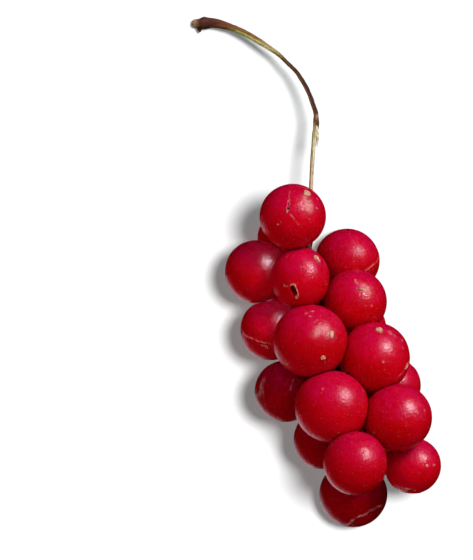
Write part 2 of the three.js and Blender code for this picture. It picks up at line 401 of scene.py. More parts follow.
class StageSettings(bpy.types.PropertyGroup):
    """Floor, light and camera"""

    floor_colour: bpy.props.FloatVectorProperty(
        name="Floor", description="Colour of the floor", default=(0.90, 0.90, 0.90), **COLOUR)
    floor_size: bpy.props.FloatProperty(
        name="Floor size", description="Width of the floor", subtype="DISTANCE", unit="LENGTH",
        min=0.1, default=6.0)
    key_power: bpy.props.FloatProperty(
        name="Key light", description="Power of the soft light on the bunch", default=82.0, **POWER)
    glint_power: bpy.props.FloatProperty(
        name="Glint light", description="Power of the light seen in the skin's gloss",
        default=250.0, **POWER)
    top_power: bpy.props.FloatProperty(
        name="Floor light", description="Power of the light on the floor", default=90.0, **POWER)
    fill_power: bpy.props.FloatProperty(
        name="Floor fill", description="Power of the light that lifts the floor's shadows",
        default=21.0, **POWER)
    sky_power: bpy.props.FloatProperty(
        name="Sky light", description="Power of the wide light overhead", default=115.0, **POWER)
    bounce_power: bpy.props.FloatProperty(
        name="Bounce light", description="Power of the light thrown back from below",
        default=120.0, **POWER)
    low_key_power: bpy.props.FloatProperty(
        name="Low key light", description="Power of the light on sheltered berries",
        default=26.0, **POWER)
    low_glint_power: bpy.props.FloatProperty(
        name="Low glint light", description="Power of the glint on sheltered berries",
        default=320.0, **POWER)
    rim_power: bpy.props.FloatProperty(
        name="Rim light", description="Power of the pale side seen in the skin's gloss",
        default=13.0, **POWER)
    camera_height: bpy.props.FloatProperty(
        name="Camera height", description="Camera's height above the receptacle", subtype="DISTANCE",
        unit="LENGTH", min=0.05, default=0.5)


# Node helpers
def feed(tree, node, inputs):
    """Sets or wires a node's inputs."""
    for name, value in inputs.items():
        if isinstance(value, bpy.types.NodeSocket):
            tree.links.new(value, node.inputs[name])
        else:
            node.inputs[name].default_value = value


def add_node(tree, kind, inputs=None, **options):
    """Adds a node, sets its options, and sets or wires its inputs."""
    node = tree.nodes.new(kind)
    for name, value in options.items():
        setattr(node, name, value)
    feed(tree, node, inputs or {})
    return node


def maths(tree, operation, *values, clamp=False):
    """The result of a Math node."""
    inputs = dict(enumerate(values))
    return add_node(tree, "ShaderNodeMath", inputs, operation=operation, use_clamp=clamp).outputs[0]


def vector_maths(tree, operation, inputs):
    """The vector that a Vector Math node gives."""
    return add_node(tree, "ShaderNodeVectorMath", inputs, operation=operation).outputs[0]


def blended(tree, share, first, second):
    """The colour that lies a share of the way from the first to the second."""
    inputs = {0: share}
    for socket, colour in ((6, first), (7, second)):
        inputs[socket] = colour if isinstance(colour, bpy.types.NodeSocket) else (*colour, 1)
    return add_node(tree, "ShaderNodeMix", inputs, data_type="RGBA").outputs[2]


def stepped(tree, value, low, high):
    """0 at low, 1 at high and smooth between, where low may be the larger."""
    inputs = {"Value": value, "From Min": low, "From Max": high}
    node = add_node(tree, "ShaderNodeMapRange", inputs, interpolation_type="SMOOTHSTEP")
    return node.outputs["Result"]


def named_value(tree, name):
    """A number that the mesh carries at each point."""
    return add_node(tree, "ShaderNodeAttribute", attribute_name=name).outputs["Fac"]


def noise(tree, place, size_mm, detail=2.0, roughness=0.5):
    """A Noise Texture's value, with features of about this size."""
    inputs = {"Vector": place, "Scale": 1 / (size_mm * MM), "Detail": detail, "Roughness": roughness}
    return add_node(tree, "ShaderNodeTexNoise", inputs).outputs["Fac"]


def bumped(tree, relief, strength, height_mm):
    """A normal that shows fine relief of this height."""
    inputs = {"Height": relief, "Strength": strength, "Distance": height_mm * MM}
    return add_node(tree, "ShaderNodeBump", inputs).outputs["Normal"]


def new_material(name):
    """A material with one Principled shader, its node tree and Object coordinates."""
    material = bpy.data.materials.new(name)
    material.use_nodes = True
    tree = material.node_tree
    tree.nodes.clear()
    shader = add_node(tree, "ShaderNodeBsdfPrincipled")
    add_node(tree, "ShaderNodeOutputMaterial", {"Surface": shader.outputs["BSDF"]})
    place = add_node(tree, "ShaderNodeTexCoord").outputs["Object"]
    return material, tree, shader, place


# Materials
def berry_skin(settings):
    """Ripe skin: deep red with a painted magenta sheen on the upper side, painted shade on low berries,
    pale pores, scuffs that are partly painted highlight, corky scabs and pits with painted shade.
    """
    material, tree, shader, place = new_material("berry_skin")
    drift = stepped(tree, noise(tree, place, 3.2, 3.0), 0.35, 0.68)
    colour = blended(tree, drift, settings.deep_colour, settings.skin_colour)
    # Painted shade on berries low in the bunch, and a darker tone on some others
    colour = blended(tree, named_value(tree, "dark_tone_and_shade"), colour, settings.dark_tone_and_shade_colour)
    mottled = stepped(tree, noise(tree, place, 0.9, 3.0), 0.25, 0.75)
    uneven = maths(tree, "ADD", mottled, 0.35)
    # Painted sheen on the side of each berry that faces up and away, made uneven by the mottling
    painted_sheen = maths(tree, "MULTIPLY", named_value(tree, "painted_sheen"), uneven, clamp=True)
    colour = blended(tree, painted_sheen, colour, settings.painted_sheen_colour)
    freckled = stepped(tree, noise(tree, place, 0.45, 4.0, 0.7), 0.62, 0.30)
    colour = blended(tree, maths(tree, "MULTIPLY", freckled, 0.2), colour, settings.dark_tone_and_shade_colour)

    cells = add_node(tree, "ShaderNodeTexVoronoi", {"Vector": place, "Scale": 1 / (0.42 * MM)})
    draw = add_node(tree, "ShaderNodeSeparateColor", {"Color": cells.outputs["Color"]}).outputs["Red"]
    chosen = stepped(tree, draw, 0.55, 0.75)
    pores = maths(tree, "MULTIPLY", stepped(tree, cells.outputs["Distance"], 0.26, 0.10), chosen)
    colour = blended(tree, maths(tree, "MULTIPLY", pores, 0.16), colour, settings.scuff_and_highlight_colour)

    # Pale rubbed skin, and painted highlight with speckle where the scuffs lie on the glint
    flaky = stepped(tree, noise(tree, place, 0.34, 4.0, 0.7), 0.30, 0.56)
    scuff = maths(tree, "MULTIPLY", named_value(tree, "scuff"), flaky)
    colour = blended(tree, scuff, colour, settings.scuff_and_highlight_colour)
    scab = named_value(tree, "scab")
    crust = noise(tree, place, 0.22, 4.0, 0.65)
    pale = stepped(tree, crust, 0.35, 0.7)
    cork = blended(tree, pale, settings.crust_colour, settings.scab_colour)
    colour = blended(tree, scab, colour, cork)
    # Painted shade in holes, slits, folds and along one side of scab rims
    pit = named_value(tree, "pit")
    colour = blended(tree, pit, colour, settings.pit_shade_colour)

    worn = maths(tree, "MAXIMUM", scab, maths(tree, "MAXIMUM", pit, scuff))
    patchy = maths(tree, "MULTIPLY_ADD", mottled, 0.10, settings.roughness - 0.05)
    roughness = maths(tree, "MULTIPLY_ADD", worn, 0.4, patchy, clamp=True)

    grain = noise(tree, place, 0.26, 3.0, 0.6)
    speckle = noise(tree, place, 0.13, 1.0)
    dents = noise(tree, place, 1.1, 2.0)
    relief = grain
    crusted = maths(tree, "MULTIPLY", worn, crust)
    for part, weight in ((dents, 1.0), (speckle, 0.2), (pores, 0.3), (crusted, 2.0)):
        relief = maths(tree, "MULTIPLY_ADD", part, weight, relief)
    feed(tree, shader, {
        "Base Color": colour, "Roughness": roughness, "Normal": bumped(tree, relief, 0.7, 0.055),
        "Subsurface Weight": 0.22, "Subsurface Radius": (1.0, 0.12, 0.08),
        "Subsurface Scale": 0.9 * MM, "IOR": 1.45, "Specular IOR Level": 0.17})
    return material


def colour_ramp(tree, share, stops):
    """A colour that runs through these stops of position and colour."""
    node = add_node(tree, "ShaderNodeValToRGB", {"Fac": share})
    ramp = node.color_ramp
    while len(ramp.elements) < len(stops):
        ramp.elements.new(1.0)
    for element, (position, colour) in zip(ramp.elements, stops):
        element.position = position
        element.color = (*colour, 1)
    return node.outputs["Color"]


def stalk_bark():
    """Thin dry bark: brown and green high up, pale and pinkish near the bunch."""
    material, tree, shader, place = new_material("stalk_bark")
    along = named_value(tree, "along")
    ring = add_node(tree, "ShaderNodeAttribute", attribute_name="ring").outputs["Vector"]
    side = add_node(tree, "ShaderNodeSeparateXYZ", {"Vector": ring}).outputs["X"]
    flecks = noise(tree, place, 0.45, 4.0, 0.65)
    stretched = maths(tree, "MULTIPLY", along, 9.0)
    drawn_out = add_node(tree, "ShaderNodeCombineXYZ", {"X": stretched}).outputs[0]
    streaks = add_node(tree, "ShaderNodeTexNoise", {
        "Vector": vector_maths(tree, "ADD", {0: ring, 1: drawn_out}),
        "Scale": 2.6, "Detail": 4.0, "Roughness": 0.7}).outputs["Fac"]

    ragged = maths(tree, "MULTIPLY_ADD", maths(tree, "SUBTRACT", flecks, 0.5), 0.012, along)
    outer = colour_ramp(tree, ragged, [(share, colour) for share, colour, other in STALK_COLOURS])
    inner = colour_ramp(tree, ragged, [(share, colour) for share, other, colour in STALK_COLOURS])
    edge = maths(tree, "MULTIPLY_ADD", maths(tree, "SUBTRACT", streaks, 0.5), 1.2, side)
    colour = blended(tree, stepped(tree, edge, -0.30, 0.15), inner, outer)
    dark = stepped(tree, maths(tree, "MULTIPLY_ADD", flecks, 0.6, streaks), 0.86, 0.62)
    colour = blended(tree, maths(tree, "MULTIPLY", dark, 0.6), colour, STALK_DARK)
    relief = maths(tree, "MULTIPLY_ADD", streaks, 1.5, flecks)
    feed(tree, shader, {
        "Base Color": colour, "Roughness": maths(tree, "MULTIPLY_ADD", flecks, 0.3, 0.4),
        "Normal": bumped(tree, relief, 0.7, 0.06), "Specular IOR Level": 0.1})
    return material


def plain_fibre(name, colour, dark_colour, size_mm):
    """Dry plant fibre of one colour, streaked and rough."""
    material, tree, shader, place = new_material(name)
    flecks = noise(tree, place, size_mm, 4.0, 0.65)
    shade = blended(tree, stepped(tree, flecks, 0.35, 0.62), dark_colour, colour)
    feed(tree, shader, {
        "Base Color": shade, "Roughness": maths(tree, "MULTIPLY_ADD", flecks, 0.3, 0.45),
        "Normal": bumped(tree, flecks, 0.6, 0.05), "Specular IOR Level": 0.1})
    return material


def floor_paper(settings):
    """Matt pale floor with a trace of unevenness."""
    material, tree, shader, place = new_material("floor_paper")
    drift = noise(tree, place, 60, 2.0)
    pale = tuple(settings.floor_colour)
    dim = tuple(0.985 * part for part in pale)
    feed(tree, shader, {
        "Base Color": blended(tree, drift, dim, pale), "Roughness": 0.9, "Specular IOR Level": 0.1})
    return material


# Geometry Nodes trees
def new_tree(name, sockets):
    """A Geometry Nodes tree with these named inputs, and its input and output nodes."""
    tree = bpy.data.node_groups.new(name, "GeometryNodeTree")
    tree.interface.new_socket("Geometry", in_out="INPUT", socket_type="NodeSocketGeometry")
    for label, kind in sockets:
        tree.interface.new_socket(label, in_out="INPUT", socket_type=kind)
    tree.interface.new_socket("Geometry", in_out="OUTPUT", socket_type="NodeSocketGeometry")
    return tree, add_node(tree, "NodeGroupInput"), add_node(tree, "NodeGroupOutput")


def finish_tree(tree, geometry, finish, group_out):
    """Ends a tree in smooth faces, real geometry and a material."""
    smooth = add_node(tree, "GeometryNodeSetShadeSmooth", {"Geometry": geometry})
    real = add_node(tree, "GeometryNodeRealizeInstances", {"Geometry": smooth.outputs[0]})
    dressed = add_node(tree, "GeometryNodeSetMaterial", {
        "Geometry": real.outputs[0], "Material": finish})
    tree.links.new(dressed.outputs[0], group_out.inputs[0])


def stored(tree, geometry, name, value, kind="FLOAT"):
    """The geometry, with a value kept at each point under this name."""
    return add_node(tree, "GeometryNodeStoreNamedAttribute", {
        "Geometry": geometry, "Name": name, "Value": value}, data_type=kind, domain="POINT").outputs[0]


def recalled(tree, name, kind="FLOAT"):
    """The value kept at each point under this name."""
    return add_node(tree, "GeometryNodeInputNamedAttribute", {"Name": name}, data_type=kind).outputs[0]


def berry_tree():
    """One berry about the origin, with its stipe end at -Z and slow lumps all over."""
    tree, given, group_out = new_tree("Schisandra berry", [
        ("Radius", "NodeSocketFloat"), ("Length ratio", "NodeSocketFloat"),
        ("Lump height", "NodeSocketFloat"), ("Lump size", "NodeSocketFloat"),
        ("Fineness", "NodeSocketInt"), ("Berry number", "NodeSocketFloat"),
        ("Skin", "NodeSocketMaterial"),
    ])
    ball = add_node(tree, "GeometryNodeMeshIcoSphere",
                    {"Radius": 1.0, "Subdivisions": given.outputs["Fineness"]})
    place = add_node(tree, "GeometryNodeInputPosition").outputs[0]
    scale = maths(tree, "DIVIDE", 1.0, given.outputs["Lump size"])
    lumps = add_node(tree, "ShaderNodeTexNoise", {
        "Vector": place, "W": given.outputs["Berry number"], "Scale": scale,
        "Detail": 1.0, "Roughness": 0.4}, noise_dimensions="4D").outputs["Fac"]
    swing = maths(tree, "MULTIPLY_ADD", lumps, 2.0, -1.0)
    growth = maths(tree, "MULTIPLY_ADD", swing, given.outputs["Lump height"], 1.0)
    girth = maths(tree, "MULTIPLY", growth, given.outputs["Radius"])
    length = maths(tree, "MULTIPLY", girth, given.outputs["Length ratio"])
    size = add_node(tree, "ShaderNodeCombineXYZ", {"X": girth, "Y": girth, "Z": length}).outputs[0]
    grown = vector_maths(tree, "MULTIPLY", {0: place, 1: size})
    shaped = add_node(tree, "GeometryNodeSetPosition", {
        "Geometry": ball.outputs["Mesh"], "Position": grown})
    finish_tree(tree, shaped.outputs[0], given.outputs["Skin"], group_out)
    return tree


def stalk_tree():
    """A ridged, lumpy stalk swept along a line, as thick at each point as the line's radius."""
    tree, given, group_out = new_tree("Swept stalk", [
        ("Sides", "NodeSocketInt"), ("Ridges", "NodeSocketInt"),
        ("Ridge depth", "NodeSocketFloat"), ("Twist", "NodeSocketFloat"),
        ("Lump height", "NodeSocketFloat"), ("Lump size", "NodeSocketFloat"),
        ("Finish", "NodeSocketMaterial"),
    ])
    share = add_node(tree, "GeometryNodeSplineParameter").outputs["Factor"]
    radius = add_node(tree, "GeometryNodeInputRadius").outputs[0]
    upright = add_node(tree, "GeometryNodeSetCurveNormal", {
        "Curve": given.outputs["Geometry"]}, mode="Z_UP")
    marked = stored(tree, upright.outputs[0], "along", share)
    marked = stored(tree, marked, "girth", radius)
    circle = add_node(tree, "GeometryNodeCurvePrimitiveCircle", {
        "Resolution": given.outputs["Sides"], "Radius": 1.0})
    place = add_node(tree, "GeometryNodeInputPosition").outputs[0]
    circle = stored(tree, circle.outputs["Curve"], "ring", place, "FLOAT_VECTOR")
    swept = add_node(tree, "GeometryNodeCurveToMesh", {
        "Curve": marked, "Profile Curve": circle, "Scale": radius, "Fill Caps": True})

    ring = recalled(tree, "ring", "FLOAT_VECTOR")
    parts = add_node(tree, "ShaderNodeSeparateXYZ", {"Vector": ring})
    angle = maths(tree, "ARCTAN2", parts.outputs["Y"], parts.outputs["X"])
    full_twist = maths(tree, "MULTIPLY", given.outputs["Twist"], 2 * math.pi)
    turned = maths(tree, "MULTIPLY", recalled(tree, "along"), full_twist)
    wave = maths(tree, "SINE", maths(tree, "MULTIPLY_ADD", angle, given.outputs["Ridges"], turned))
    depth = maths(tree, "MULTIPLY", wave, given.outputs["Ridge depth"])
    ridge = maths(tree, "MULTIPLY", depth, recalled(tree, "girth"))
    scale = maths(tree, "DIVIDE", 1.0, given.outputs["Lump size"])
    lumps = add_node(tree, "ShaderNodeTexNoise", {
        "Vector": place, "Scale": scale, "Detail": 3.0}).outputs["Fac"]
    swing = maths(tree, "SUBTRACT", lumps, 0.5)
    swell = maths(tree, "MULTIPLY", swing, given.outputs["Lump height"])
    height = maths(tree, "ADD", ridge, swell)
    normal = add_node(tree, "GeometryNodeInputNormal").outputs["Normal"]
    offset = vector_maths(tree, "SCALE", {0: normal, "Scale": height})
    shaped = add_node(tree, "GeometryNodeSetPosition", {"Geometry": swept.outputs[0], "Offset": offset})
    finish_tree(tree, shaped.outputs[0], given.outputs["Finish"], group_out)
    return tree


def grow(name, data, tree, values):
    """Puts a tree on new data, keeps the mesh that comes out, and returns its object."""
    source = bpy.data.objects.new(name + ".source", data)
    bpy.context.scene.collection.objects.link(source)
    modifier = source.modifiers.new("Growth", "NODES")
    modifier.node_group = tree
    sockets = {item.name: item.identifier for item in tree.interface.items_tree
               if item.in_out == "INPUT"}
    for label, value in values.items():
        modifier[sockets[label]] = value
    graph = bpy.context.evaluated_depsgraph_get()
    mesh = bpy.data.meshes.new_from_object(source.evaluated_get(graph))
    bpy.data.objects.remove(source)
    mesh.name = name
    piece = bpy.data.objects.new(name, mesh)
    bpy.context.scene.collection.objects.link(piece)
    return piece


def settle(piece, slot, *nodes):
    """Rides a finished piece on the bunch and hides any solid parts that it stands for."""
    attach(piece, BODY)
    if nodes:
        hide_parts(*nodes)


# Places along the bunch
def unit(vector):
    """The vector at length 1."""
    return vector / np.linalg.norm(vector)


CHORD = RECEPTACLE_TIP - RECEPTACLE_TOP
RECEPTACLE_LENGTH = np.linalg.norm(CHORD)
UP = np.array([0.0, 0.0, 1.0])
ACROSS = np.cross(UP, unit(CHORD))


def receptacle_point(distance):
    """The receptacle's middle at this distance from its top."""
    share = distance / RECEPTACLE_LENGTH
    bow = -RECEPTACLE_BOW * BOW_SCALE * share * (1 - share) ** 2
    return RECEPTACLE_TOP + CHORD * share + ACROSS * bow + UP * RECEPTACLE_LIFT * share ** 2


def berry_place(row):
    """The berry's middle, the root of its stipe, and its radius."""
    distance, turn, reach, diameter = row
    angle = math.radians(turn)
    middle = receptacle_point(distance) + reach * (ACROSS * math.sin(angle) + UP * math.cos(angle))
    root = receptacle_point(distance - STIPE_LEAN * reach)
    return middle, root, diameter / 2


def stipe_heading(middle, root):
    """The direction from a berry's middle to its stipe, which joins it no higher than its side."""
    heading = unit(root - middle)
    heading[2] = min(heading[2], -STIPE_FALL)
    return unit(heading)


def smooth_line(points, steps):
    """Points on a smooth curve through these ones, evenly spaced."""
    ends = np.vstack([2 * points[0] - points[1], points, 2 * points[-1] - points[-2]])
    pieces = []
    for before, start, end, after in zip(ends, ends[1:], ends[2:], ends[3:]):
        share = np.linspace(0, 1, LINE_STEPS, endpoint=False)[:, None]
        bend = 2 * start + (end - before) * share
        bend += (2 * before - 5 * start + 4 * end - after) * share ** 2
        bend += (3 * start - before - 3 * end + after) * share ** 3
        pieces.append(bend / 2)
    fine = np.vstack(pieces + [points[-1:]])
    gaps = np.linalg.norm(np.diff(fine, axis=0), axis=1)
    distance = np.concatenate([[0], np.cumsum(gaps)])
    even = np.linspace(0, distance[-1], steps + 1)
    return np.column_stack([np.interp(even, distance, fine[:, axis]) for axis in range(3)]), even


def add_line(curve, points, radii):
    """Adds an open line in millimetres to a curve, with its thickness."""
    line = curve.splines.new("POLY")
    line.points.add(len(points) - 1)
    for spot, place, radius in zip(line.points, points, radii):
        spot.co = (*(place * MM), 1)
        spot.radius = radius * MM


def new_curve(name):
    """An empty curve in space."""
    curve = bpy.data.curves.new(name, "CURVE")
    curve.dimensions = "3D"
    return curve


# Skin marks: each gives a height in millimetres, and how scuffed, partly as painted highlight, how
# corky, and how pitted, with painted shade, the skin is
def eased(value):
    """0 to 1, smoothly."""
    share = np.clip(value, 0, 1)
    return share * share * (3 - 2 * share)


def ripple(points, size, phase):
    """An uneven waviness, mostly between -1 and 1, with waves of about this size."""
    random = np.random.default_rng(RIPPLE_SEED)
    headings = random.normal(size=(RIPPLE_WAVES, 3))
    headings /= np.linalg.norm(headings, axis=1)[:, None]
    waves = headings * random.uniform(0.5, 1.6, RIPPLE_WAVES)[:, None] * 2 * math.pi / size
    starts = random.uniform(0, 2 * math.pi, RIPPLE_WAVES) * (1 + phase)
    return np.sin(points @ waves.T + starts).sum(axis=1) / math.sqrt(RIPPLE_WAVES)


def scab_mark(edge, side):
    """A raised corky spot, darker along one side of its rim with painted shade."""
    body = eased(edge / 0.35)
    rim = eased(1 - np.abs(edge) / 0.3) * (side < 0)
    return 0.09 * body - 0.03 * rim, 0 * body, body, 0.4 * rim


def pit_mark(edge, side):
    """A small hole with a corky lip on one side, its inside darkened with painted shade."""
    hole = eased(edge / 0.6)
    lip = eased(1 - np.abs(edge + 0.05) / 0.3) * (side > 0)
    return -0.38 * hole + 0.05 * lip, 0.2 * lip, 0.8 * lip, 0.95 * hole * (1 - 0.6 * lip)


def slit_mark(edge, side):
    """A narrow split, dark inside with painted shade."""
    hole = eased(edge / 0.8)
    lip = eased(1 - np.abs(edge + 0.3) / 0.6) * (side > 0)
    return -0.15 * hole + 0.03 * lip, 0.5 * lip, 0.25 * lip, 0.6 * hole


def crease_mark(edge, side):
    """A fold with a pale ridge along one side, and painted shade in the fold."""
    fold = eased((edge - 0.1) / 0.8)
    lip = eased(1 - np.abs(edge + 0.4) / 0.7) * (side > 0)
    return -0.12 * fold + 0.06 * lip, 0.75 * lip, 0.12 * lip, 0.25 * fold


def scratch_mark(edge, side):
    """A faint pale line."""
    body = eased(edge / 0.9)
    return -0.02 * body, 0.45 * body, 0.1 * body, 0 * body


def dot_mark(edge, side):
    """A pale raised pore."""
    body = eased(edge / 0.6)
    return 0.04 * body, 0.6 * body, 0.2 * body, 0 * body


def scuff_and_highlight_mark(edge, side):
    """A rubbed patch, pale; where it lies on the glint it is a painted highlight."""
    body = eased(edge / 0.8)
    return 0.02 * body, 0.8 * body, 0.15 * body, 0 * body


MARK_FORMS = {"scab": scab_mark, "pit": pit_mark, "slit": slit_mark, "crease": crease_mark,
              "scratch": scratch_mark, "dot": dot_mark, "scuff": scuff_and_highlight_mark}


def hidden_marks(random):
    """A few seeded marks on the sides of a berry that face down and away."""
    rows = []
    for turn in range(HIDDEN_MARKS_EACH):
        heading = unit(random.normal(size=3))
        heading[2] = -abs(heading[2]) - 0.1
        kind = HIDDEN_KINDS[random.integers(len(HIDDEN_KINDS))]
        length = random.uniform(0.25, 0.6) * (3.0 if kind == "crease" else 1.0)
        rows.append((unit(heading), kind, length, min(length * 0.7, 0.45), random.uniform(0, 180)))
    return rows


def facing(across, up):
    """The direction from a berry's middle to a place on the face that shows."""
    return unit(np.array([across, up, math.sqrt(max(0.0, 1 - across ** 2 - up ** 2))]))


def shown_marks(number):
    """The marks listed for a berry, each with its direction from the berry's middle."""
    return [(facing(across, up), kind, length, width, tilt)
            for berry, across, up, kind, length, width, tilt in MARKS if berry == number]


def spot_edges(rays, radius, heading, length, width, tilt):
    """How far inside a spot each point lies, 0 at its edge, and how far to one side."""
    angle = math.radians(tilt)
    along = np.array([math.cos(angle), math.sin(angle), 0.2])
    along = unit(along - heading * (along @ heading))
    sideways = np.cross(heading, along)
    u = rays @ along * radius / (length / 2)
    v = rays @ sideways * radius / (width / 2)
    behind = OUT_OF_REACH * (rays @ heading < 0)
    return 1 - np.hypot(u, v) - behind, v


def line_edges(rays, radius, spots, width):
    """How far inside a line each point lies, 0 at its edge, and how far to one side."""
    nearest = np.full(len(rays), OUT_OF_REACH)
    side = np.zeros(len(rays))
    for start, end in zip(spots, spots[1:]):
        step = end - start
        share = np.clip((rays - start) @ step / (step @ step), 0, 1)
        away = rays - start - share[:, None] * step
        distance = np.linalg.norm(away, axis=1) * radius / (width / 2)
        closer = distance < nearest
        nearest[closer] = distance[closer]
        side[closer] = (away @ np.cross(unit(start + end), step))[closer]
    return 1 - nearest, side


def mark_skin(rays, radius, number, random):
    """Heights and skin values of a berry's marks at each direction from its middle."""
    jobs = []
    for heading, kind, length, width, tilt in shown_marks(number) + hidden_marks(random):
        jobs.append((kind, width, *spot_edges(rays, radius, heading, length, width, tilt)))
    for berry, kind, width, places in LINES:
        if berry == number:
            spots = [facing(across, up) for across, up in places]
            jobs.append((kind, width, *line_edges(rays, radius, spots, width)))
    height, scuff, scab, pit = (np.zeros(len(rays)) for part in range(4))
    for order, (kind, width, edge, side) in enumerate(jobs):
        near = edge > -MARK_REACH
        spots = rays[near] * radius
        wander = MARK_WANDER * ripple(spots, max(1.2 * width, WANDER_SIZE), 0.9 * order)
        raised, rubbed, corky, hollow = MARK_FORMS[kind](edge[near] + wander, side[near])
        rubbed = rubbed * eased(0.7 + 0.6 * ripple(spots, RUBBED_SIZE, 2.0 + order))
        height[near] += raised
        scuff[near] = np.maximum(scuff[near], rubbed)
        scab[near] = np.maximum(scab[near], corky)
        pit[near] = np.maximum(pit[near], hollow)
    return height, scuff, scab, pit


def press(points, spot, outward):
    """Presses points back softly from a plane."""
    past = (points - spot) @ outward
    back = 0.5 * (past + np.sqrt(past ** 2 + CONTACT_SOFTNESS ** 2))
    return points - back[:, None] * outward


def berry_form(points, number, places, random):
    """Turns a berry to its stipe, marks its skin, sets it in place and presses it on its neighbours."""
    middle, root, radius = places[number - 1]
    outward = -stipe_heading(middle, root)
    turn = Vector((0, 0, 1)).rotation_difference(Vector(outward)).to_matrix()
    points = points @ np.array(turn).T
    reach = np.linalg.norm(points, axis=1)
    rays = points / reach[:, None]
    navel = np.linalg.norm(rays + outward, axis=1) * radius / NAVEL_RADIUS
    height, scuff, scab, pit = mark_skin(rays, radius, number, random)
    reach = reach + height - NAVEL_DEPTH * np.exp(-navel ** 2)
    wide, tall = BERRY_STRETCH.get(number, (1.0, 1.0))
    points = middle + rays * reach[:, None] * np.array([wide, tall, 1.0])
    for other, (next_middle, next_root, next_radius) in enumerate(places, 1):
        gap = np.linalg.norm(next_middle - middle)
        if other != number and gap < radius + next_radius + CONTACT_REACH:
            heading = (next_middle - middle) / gap
            depth = (gap ** 2 + radius ** 2 - next_radius ** 2) / (2 * gap)
            points = press(points, middle + heading * depth, heading)
    points = press(points, np.zeros(3), -UP)
    # Painted sheen: most on the side of each berry that faces up and away in the room
    painted_sheen = eased((rays @ unit(PAINTED_SHEEN_SIDE) - PAINTED_SHEEN_START) / (1 - PAINTED_SHEEN_START))
    # Painted shade on berries that lie low in the bunch, and a darker tone on some others, from the
    # table
    dark_tone_and_shade = np.full(len(rays), DARK_TONE_AND_SHADE.get(number, 0.0))
    return points, {"scuff": scuff, "scab": scab, "pit": pit, "painted_sheen": painted_sheen, "dark_tone_and_shade": dark_tone_and_shade}


def set_points(mesh, points):
    """Writes points in millimetres into a mesh."""
    mesh.vertices.foreach_set("co", (points * MM).astype(np.float32).ravel())
    mesh.update()


def get_points(mesh):
    """A mesh's points in millimetres."""
    flat = np.zeros(len(mesh.vertices) * 3, np.float32)
    mesh.vertices.foreach_get("co", flat)
    return flat.reshape(-1, 3).astype(float) / MM


class SCHISANDRA_OT_berries(bpy.types.Operator):
    """Grow every berry, press it against its neighbours and mark its skin"""

    bl_idname = "schisandra.berries"
    bl_label = "Berries"

    def execute(self, context):
        settings = context.scene.schisandra_berries
        tree = berry_tree()
        skin = berry_skin(settings)
        places = [berry_place(row) for row in BERRIES]
        random = np.random.default_rng(HIDDEN_MARK_SEED)
        for number, (middle, root, radius) in enumerate(places, 1):
            fineness = settings.fineness + (number in FINE_BERRIES) - (number in BURIED_BERRIES)
            piece = grow(f"berry_{number:02d}", bpy.data.meshes.new("seed"), tree, {
                "Radius": radius * MM, "Length ratio": BERRY_LENGTH_RATIO,
                "Lump height": settings.lump_height, "Lump size": settings.lump_size,
                "Fineness": fineness, "Berry number": LUMP_STEP * number, "Skin": skin})
            points, values = berry_form(get_points(piece.data), number, places, random)
            set_points(piece.data, points)
            for name, value in values.items():
                layer = piece.data.attributes.new(name, "FLOAT", "POINT")
                layer.data.foreach_set("value", value.astype(np.float32))
            settle(piece, "berry_skin", "berries")
        return {"FINISHED"}


class SCHISANDRA_OT_receptacle(bpy.types.Operator):
    """Grow the receptacle inside the bunch and a stipe to each berry"""

    bl_idname = "schisandra.receptacle"
    bl_label = "Receptacle and stipes"

    def execute(self, context):
        settings = context.scene.schisandra_stalk
        tree = stalk_tree()
        flesh = plain_fibre("receptacle_flesh", settings.receptacle_colour, RECEPTACLE_DARK, 0.6)
        values = {"Sides": 16, "Ridges": 5, "Ridge depth": 0.08, "Twist": 2.0,
                  "Lump height": 0.25 * MM, "Lump size": 0.8 * MM, "Finish": flesh}
        distances = np.linspace(0, RECEPTACLE_PROFILE[-1][0], RECEPTACLE_STEPS)
        knots, widths = zip(*RECEPTACLE_PROFILE)
        core = new_curve("receptacle_line")
        middle_line = np.array([receptacle_point(distance) for distance in distances])
        add_line(core, middle_line, np.interp(distances, knots, widths) / 2)
        settle(grow("receptacle", core, tree, values), "stem_bark")

        stipes = new_curve("stipe_lines")
        knots, widths = zip(*STIPE_PROFILE)
        shares = np.linspace(0, 1, STIPE_STEPS)
        for row in BERRIES:
            middle, root, radius = berry_place(row)
            inward = stipe_heading(middle, root)
            end = middle + inward * (radius - STIPE_SINK)
            bend = middle + inward * (radius + STIPE_BEND)
            share = shares[:, None]
            line = root * (1 - share) ** 2 + bend * 2 * share * (1 - share) + end * share ** 2
            add_line(stipes, line, np.interp(shares, knots, widths) / 2)
        settle(grow("stipes", stipes, tree, values | {"Sides": 14}), "stem_bark")
        return {"FINISHED"}


